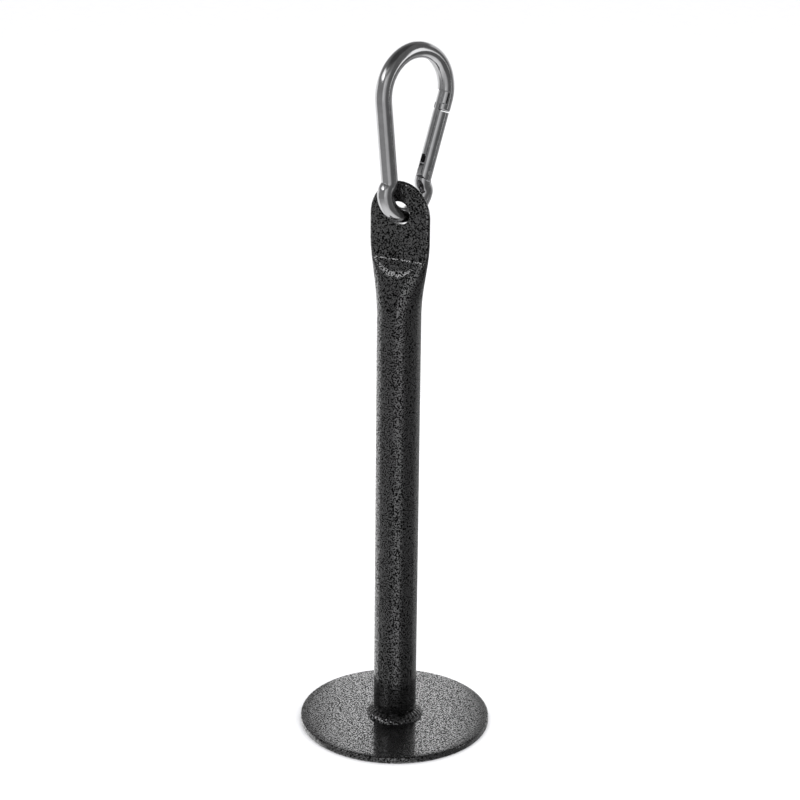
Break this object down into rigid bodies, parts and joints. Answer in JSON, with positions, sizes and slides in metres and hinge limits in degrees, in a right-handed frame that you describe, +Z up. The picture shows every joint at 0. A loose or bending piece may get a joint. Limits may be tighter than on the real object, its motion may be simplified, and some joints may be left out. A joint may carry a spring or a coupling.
{
  "type": "weight plate loading pin",
  "caption": "Steel tube post on a round plate, its top pressed into a flat lug with an eye, and a pear-shaped spring snap hook standing in the eye.",
  "frame": {"origin": "centre of the base plate's underside", "axes": "+Z up along the post, the lug's two flat faces look along +Y and -Y, and the lug's width is along X"},
  "size_m": [0.112, 0.112, 0.4063],
  "materials": {
    "hammertone_coat": "glossy hammertone coating, grey cells with dark veins",
    "plated_steel": "polished, zinc plated",
    "rivet_steel": "plain, plated",
    "spring_steel": "oiled spring steel"
  },
  "bodies": {
    "post": {"post_tube": "hammertone_coat", "base_plate": "hammertone_coat", "foot_weld": "hammertone_coat"},
    "hook": {"snap_body": "plated_steel"},
    "gate": {"snap_gate": "plated_steel", "gate_rivet": "rivet_steel", "gate_spring": "spring_steel"},
    "plunger": {"gate_plunger": "spring_steel"}
  },
  "joints": [
    {"name": "snap_swing", "type": "hinge", "parent": "post", "child": "hook", "pos_m": [0, 0, 0.3127], "axis": [0, 1, 0], "range_deg": [-140, 150]},
    {"name": "gate_hinge", "type": "hinge", "parent": "hook", "child": "gate", "pos_m": [0.00636, 0.017, 0.33296], "axis": [0.9367, -0.3502, 0], "range_deg": [0, 30], "stiffness_Nm_per_rad": 0.15, "springref_deg": -22.92},
    {"name": "plunger_slide", "type": "slide", "parent": "gate", "child": "plunger", "axis": [0.1176, 0.3147, 0.9419], "range_m": [0, 0.0014], "deforming": ["gate_spring"]}
  ],
  "couplings": [
    {"joint": "plunger_slide", "follows": "gate_hinge", "m_per_rad": 0.0026}
  ]
}
